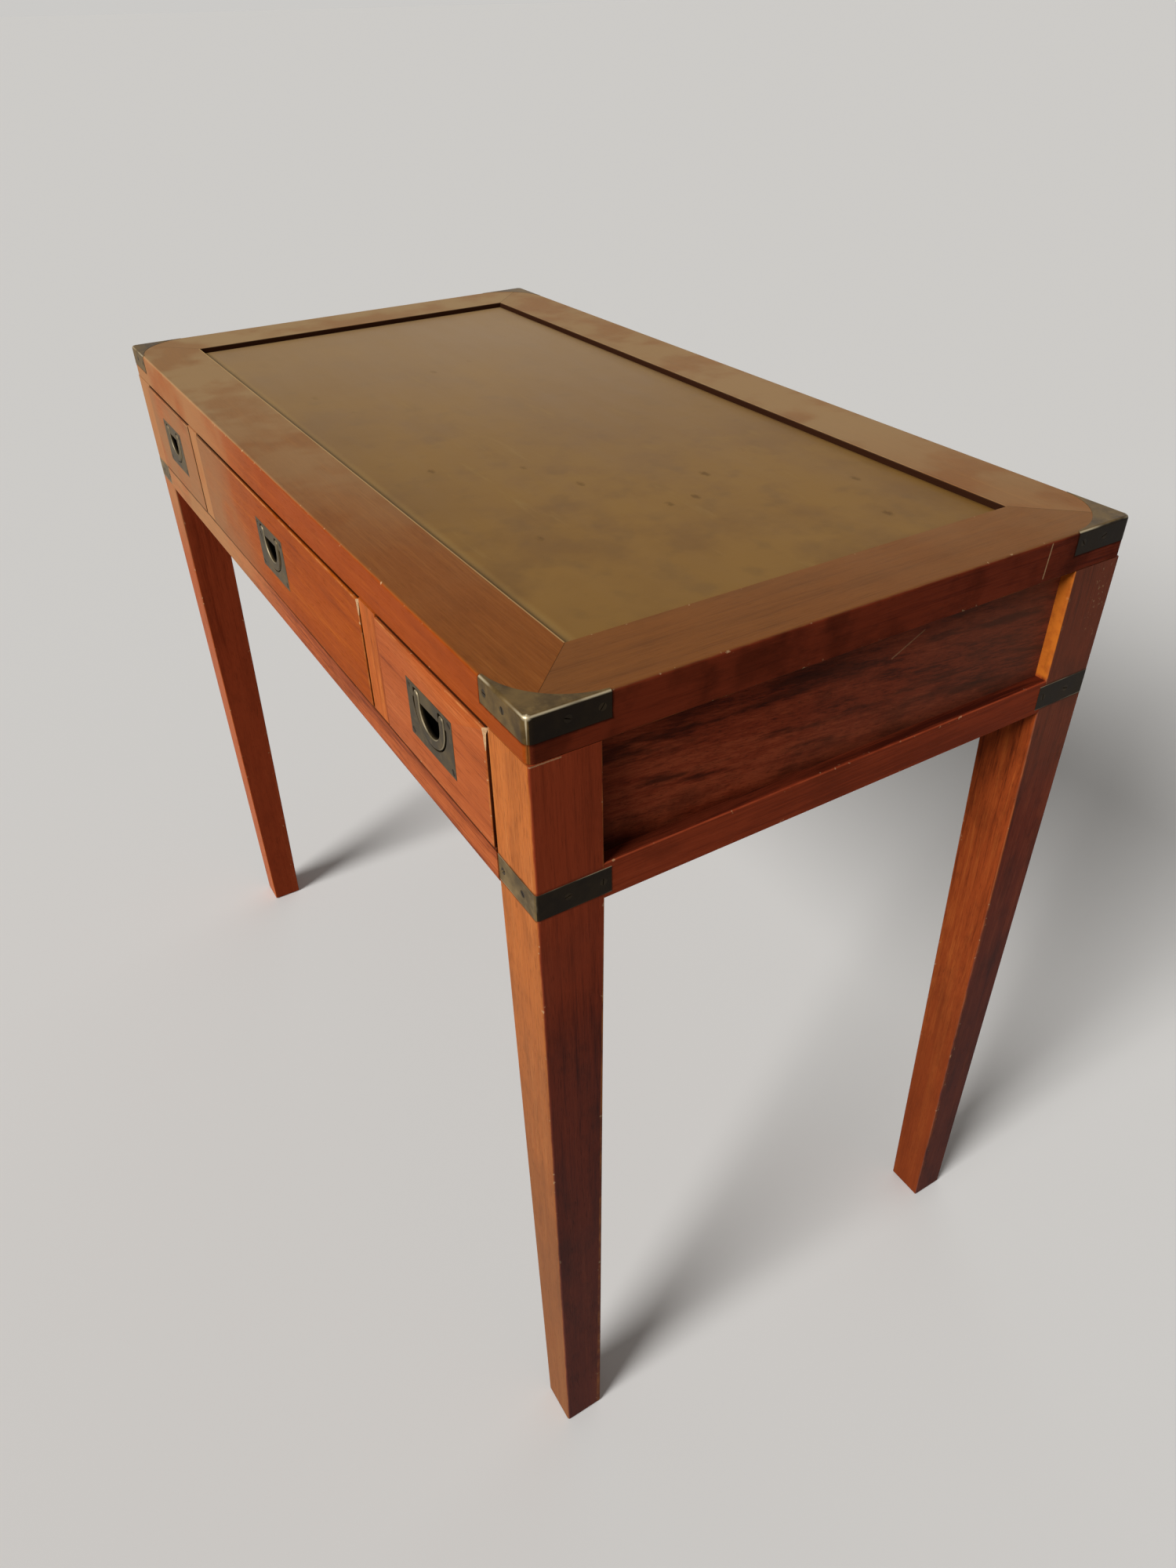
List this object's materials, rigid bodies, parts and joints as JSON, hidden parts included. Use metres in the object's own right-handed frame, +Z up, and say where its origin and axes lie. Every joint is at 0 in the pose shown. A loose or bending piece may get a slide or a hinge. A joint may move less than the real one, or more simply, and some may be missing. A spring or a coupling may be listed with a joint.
{
  "type": "campaign desk",
  "caption": "Flat-topped campaign writing desk with a recessed leather surface, a row of drawers with flush bail pulls, tapered legs and brass-bound corners.",
  "frame": {"origin": "on the floor under the centre of the closed desk", "axes": "+X to the sitter's right, +Y from the drawers to the back, +Z up"},
  "size_m": [0.8744, 0.4728, 0.7652],
  "materials": {
    "show_wood": "satin lacquered red-brown hardwood",
    "lining_wood": "plain unfinished drawer wood",
    "leather": "worn olive-tan writing leather",
    "brass": "aged dark brass, bright at worn edges"
  },
  "bodies": {
    "desk_frame": {"board_back": "show_wood", "board_left": "show_wood", "board_right": "show_wood", "brass_screws": "brass", "corner_cap_back_left": "brass", "corner_cap_back_right": "brass", "corner_cap_front_left": "brass", "corner_cap_front_right": "brass", "divider_left": "show_wood", "divider_right": "show_wood", "drawer_guides": "lining_wood", "drawer_kickers": "lining_wood", "drawer_stops": "lining_wood", "leather_surface": "leather", "leg_back_left": "show_wood", "leg_back_right": "show_wood", "leg_front_left": "show_wood", "leg_front_right": "show_wood", "leg_strap_back_left": "brass", "leg_strap_back_right": "brass", "leg_strap_front_left": "brass", "leg_strap_front_right": "brass", "mitre_splines": "lining_wood", "rail_back": "show_wood", "rail_front": "show_wood", "rail_left": "show_wood", "rail_right": "show_wood", "runner_left_end": "lining_wood", "runner_left_inner": "lining_wood", "runner_right_end": "lining_wood", "runner_right_inner": "lining_wood", "top_back": "show_wood", "top_front": "show_wood", "top_left": "show_wood", "top_panel": "lining_wood", "top_right": "show_wood"},
    "left_drawer": {"left_drawer_front": "show_wood", "left_drawer_left_side": "lining_wood", "left_drawer_right_side": "lining_wood", "left_drawer_back": "lining_wood", "left_drawer_bottom": "lining_wood", "left_pull_plate": "brass", "left_pull_fixings": "brass"},
    "left_bail": {"left_pull_bail": "brass"},
    "centre_drawer": {"centre_drawer_front": "show_wood", "centre_drawer_left_side": "lining_wood", "centre_drawer_right_side": "lining_wood", "centre_drawer_back": "lining_wood", "centre_drawer_bottom": "lining_wood", "centre_pull_plate": "brass", "centre_pull_fixings": "brass"},
    "centre_bail": {"centre_pull_bail": "brass"},
    "right_drawer": {"right_drawer_front": "show_wood", "right_drawer_left_side": "lining_wood", "right_drawer_right_side": "lining_wood", "right_drawer_back": "lining_wood", "right_drawer_bottom": "lining_wood", "right_pull_plate": "brass", "right_pull_fixings": "brass"},
    "right_bail": {"right_pull_bail": "brass"}
  },
  "joints": [
    {"name": "left_drawer_slide", "type": "slide", "parent": "desk_frame", "child": "left_drawer", "axis": [0, -1, 0], "range_m": [0, 0.3]},
    {"name": "centre_drawer_slide", "type": "slide", "parent": "desk_frame", "child": "centre_drawer", "axis": [0, -1, 0], "range_m": [0, 0.3]},
    {"name": "right_drawer_slide", "type": "slide", "parent": "desk_frame", "child": "right_drawer", "axis": [0, -1, 0], "range_m": [0, 0.3]},
    {"name": "left_bail_swing", "type": "hinge", "parent": "left_drawer", "child": "left_bail", "pos_m": [-0.311, -0.2343, 0.70578], "axis": [-1, 0, 0], "range_deg": [0, 90]},
    {"name": "centre_bail_swing", "type": "hinge", "parent": "centre_drawer", "child": "centre_bail", "pos_m": [0, -0.2343, 0.70578], "axis": [-1, 0, 0], "range_deg": [0, 90]},
    {"name": "right_bail_swing", "type": "hinge", "parent": "right_drawer", "child": "right_bail", "pos_m": [0.311, -0.2343, 0.70578], "axis": [-1, 0, 0], "range_deg": [0, 90]}
  ]
}
